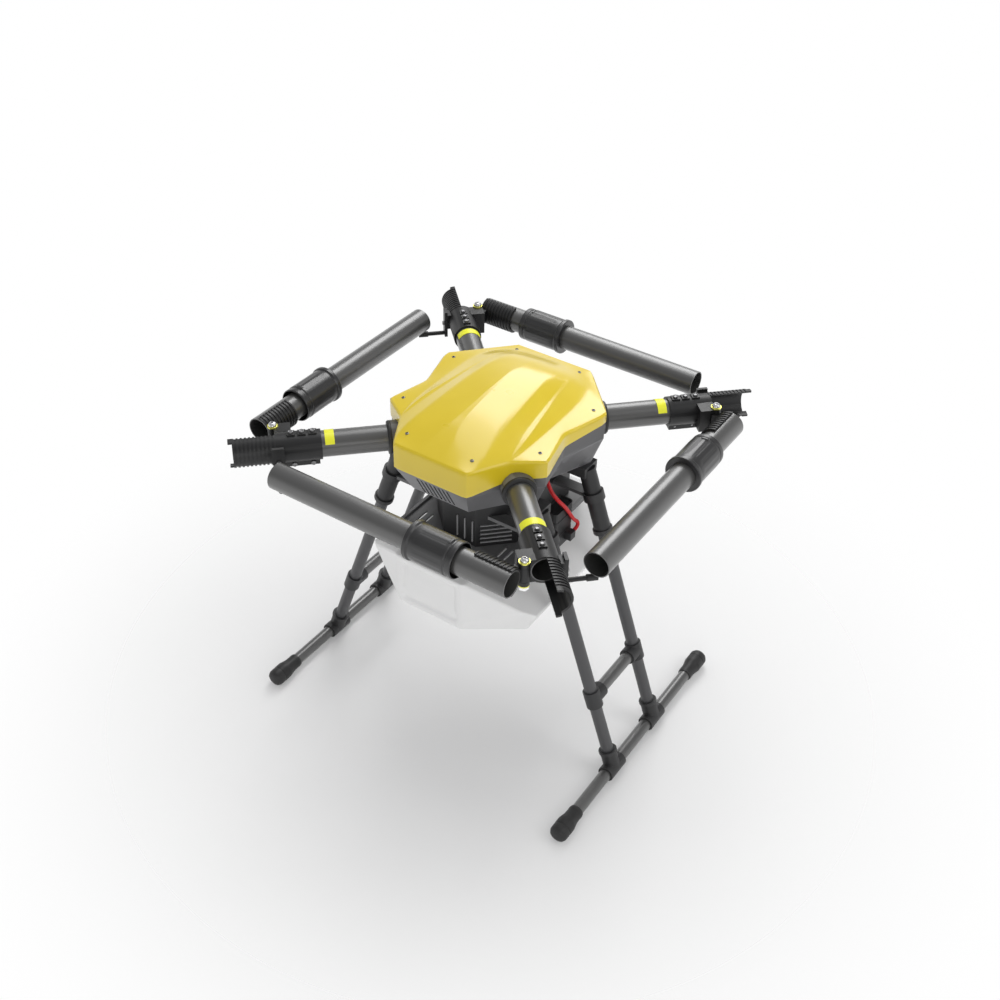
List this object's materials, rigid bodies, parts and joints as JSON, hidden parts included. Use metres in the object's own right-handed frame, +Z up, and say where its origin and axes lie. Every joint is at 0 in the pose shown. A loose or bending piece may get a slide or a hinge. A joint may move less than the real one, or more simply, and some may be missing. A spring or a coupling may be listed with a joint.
{
  "type": "agricultural spray drone frame",
  "caption": "Folding multirotor spray frame with clamped tube arms, yellow shell, landing skids and a white belly tank.",
  "frame": {"origin": "on the ground under the centre of the frame, between the skids", "axes": "+Z up, -Y towards the nose, +X to the right as seen from in front of the nose, which is the aircraft's own left"},
  "size_m": [0.633, 0.633, 0.606],
  "materials": {
    "carbon_tube": "satin clear coat",
    "joint_black": "satin moulded",
    "fitting_black": "moulded",
    "cover_yellow": "gloss paint",
    "shell_grey": "fine texture",
    "band_yellow": "adhesive band",
    "steel": "plain",
    "alloy_post": "satin",
    "rubber_black": "plain",
    "deck_black": "fine texture",
    "tank_white": "translucent white",
    "cap_black": "moulded",
    "outlet_grey": "moulded",
    "battery_wrap": "shrink wrap",
    "board_green": "solder mask",
    "controller_black": "moulded",
    "lead_red": "silicone"
  },
  "bodies": {
    "frame": {"arm_clamps": "fitting_black", "arm_seals": "rubber_black", "battery_case": "deck_black", "clamp_screws": "steel", "cover_screws": "steel", "crossbar_tees": "fitting_black", "crossbars": "carbon_tube", "deck_posts": "alloy_post", "deck_screws": "steel", "flight_controller": "controller_black", "hinge_bolts": "steel", "hinge_nuts": "steel", "hinge_washers": "steel", "joint_base_back_left": "joint_black", "joint_base_back_right": "joint_black", "joint_base_front_left": "joint_black", "joint_base_front_right": "joint_black", "lead_plug": "cap_black", "leg_back_left": "carbon_tube", "leg_back_right": "carbon_tube", "leg_front_left": "carbon_tube", "leg_front_right": "carbon_tube", "leg_mounts": "fitting_black", "leg_sockets": "fitting_black", "leg_struts": "fitting_black", "lower_deck": "deck_black", "lower_shell": "shell_grey", "marker_bands": "band_yellow", "power_board": "board_green", "pump_bracket": "deck_black", "red_lead": "lead_red", "rest_tips": "rubber_black", "root_tube_back_left": "carbon_tube", "root_tube_back_right": "carbon_tube", "root_tube_front_left": "carbon_tube", "root_tube_front_right": "carbon_tube", "skid_caps": "rubber_black", "skid_tees": "fitting_black", "skids": "carbon_tube", "spray_pump": "cap_black", "spray_tank": "tank_white", "tank_outlet": "outlet_grey", "tank_plate": "deck_black", "top_cover": "cover_yellow", "tube_rests": "joint_black", "upper_deck": "deck_black"},
    "arm_front_left": {"hinge_half_front_left": "joint_black", "outer_tube_front_left": "carbon_tube"},
    "sleeve_front_left": {"lock_sleeve_front_left": "joint_black"},
    "arm_back_left": {"hinge_half_back_left": "joint_black", "outer_tube_back_left": "carbon_tube"},
    "sleeve_back_left": {"lock_sleeve_back_left": "joint_black"},
    "arm_back_right": {"hinge_half_back_right": "joint_black", "outer_tube_back_right": "carbon_tube"},
    "sleeve_back_right": {"lock_sleeve_back_right": "joint_black"},
    "arm_front_right": {"hinge_half_front_right": "joint_black", "outer_tube_front_right": "carbon_tube"},
    "sleeve_front_right": {"lock_sleeve_front_right": "joint_black"},
    "battery": {"battery_pack": "battery_wrap"},
    "cap": {"tank_cap": "cap_black"}
  },
  "joints": [
    {"name": "fold_front_left", "type": "hinge", "parent": "frame", "child": "arm_front_left", "pos_m": [-0.258, -0.21699, 0.524], "axis": [0, 0, 1], "range_deg": [0, 135]},
    {"name": "slide_sleeve_front_left", "type": "slide", "parent": "arm_front_left", "child": "sleeve_front_left", "axis": [0, -1, 0], "range_m": [0, 0.055]},
    {"name": "fold_back_left", "type": "hinge", "parent": "frame", "child": "arm_back_left", "pos_m": [-0.21699, 0.258, 0.524], "axis": [0, 0, 1], "range_deg": [0, 135]},
    {"name": "slide_sleeve_back_left", "type": "slide", "parent": "arm_back_left", "child": "sleeve_back_left", "axis": [-1, 0, 0], "range_m": [0, 0.055]},
    {"name": "fold_back_right", "type": "hinge", "parent": "frame", "child": "arm_back_right", "pos_m": [0.258, 0.21699, 0.524], "axis": [0, 0, 1], "range_deg": [0, 135]},
    {"name": "slide_sleeve_back_right", "type": "slide", "parent": "arm_back_right", "child": "sleeve_back_right", "axis": [0, 1, 0], "range_m": [0, 0.055]},
    {"name": "fold_front_right", "type": "hinge", "parent": "frame", "child": "arm_front_right", "pos_m": [0.21699, -0.258, 0.524], "axis": [0, 0, 1], "range_deg": [0, 135]},
    {"name": "slide_sleeve_front_right", "type": "slide", "parent": "arm_front_right", "child": "sleeve_front_right", "axis": [1, 0, 0], "range_m": [0, 0.055]},
    {"name": "battery_slide", "type": "slide", "parent": "frame", "child": "battery", "axis": [0, 1, 0], "range_m": [0, 0.15]},
    {"name": "cap_turn", "type": "hinge", "parent": "frame", "child": "cap", "pos_m": [0, 0.152, 0.35], "axis": [0, 0, 1], "range_deg": [0, 360]}
  ]
}
